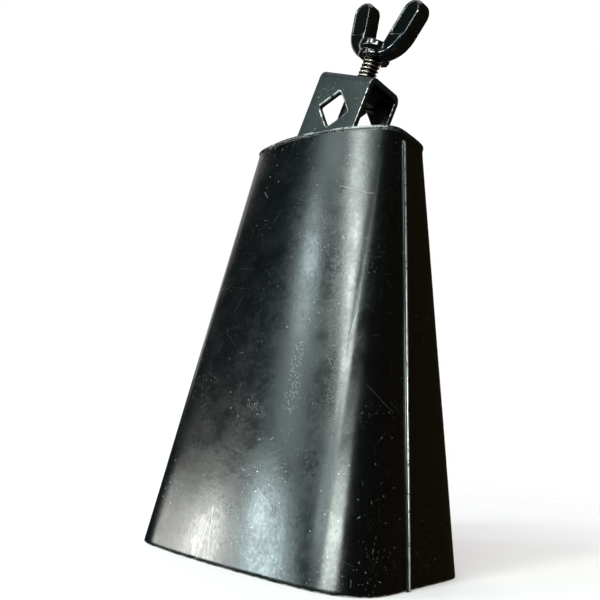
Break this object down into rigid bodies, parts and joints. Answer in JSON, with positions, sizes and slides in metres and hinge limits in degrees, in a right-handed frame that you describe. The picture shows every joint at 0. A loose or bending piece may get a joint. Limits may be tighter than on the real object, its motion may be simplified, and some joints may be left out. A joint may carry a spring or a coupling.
{
  "type": "cowbell",
  "caption": "Tapered sheet-steel cowbell, open at the mouth, with a leaning rod-clamp bracket and a wing screw on its closed top.",
  "frame": {"origin": "centre of the bell's mouth, in the plane of the mouth rim", "axes": "+Z from the mouth up to the closed top, +X towards the side the clamp bracket leans to, -Y the struck front face"},
  "size_m": [0.1308, 0.1068, 0.2814],
  "materials": {
    "shell_paint": "satin black paint, scuffed",
    "cap_paint": "satin black paint, worn at the rim",
    "bracket_paint": "satin black paint, bright at the cut edges",
    "cast_black": "gloss black casting",
    "thread_steel": "oiled dark steel thread",
    "dark_steel": "dark steel"
  },
  "bodies": {
    "bell": {"front_shell": "shell_paint", "back_shell": "shell_paint", "side_seam_left": "shell_paint", "side_seam_right": "shell_paint", "top_cap": "cap_paint", "cap_weld": "cap_paint", "mount_bracket": "bracket_paint", "bracket_weld_front": "bracket_paint", "bracket_weld_back": "bracket_paint", "clamp_nut": "dark_steel"},
    "pad": {"pressure_pad": "dark_steel"},
    "wing_screw": {"screw_stud": "thread_steel", "wing_head": "cast_black"}
  },
  "joints": [
    {"name": "screw_travel", "type": "slide", "parent": "bell", "child": "pad", "axis": [-0.3338, 0, -0.9426], "range_m": [-0.00401, 0.01241]},
    {"name": "wing_turn", "type": "hinge", "parent": "pad", "child": "wing_screw", "pos_m": [0.01222, 0, 0.2345], "axis": [-0.3338, 0, -0.9426], "range_deg": [-720, 2232]}
  ],
  "couplings": [
    {"joint": "screw_travel", "follows": "wing_turn", "m_per_rad": 0.00031831}
  ]
}
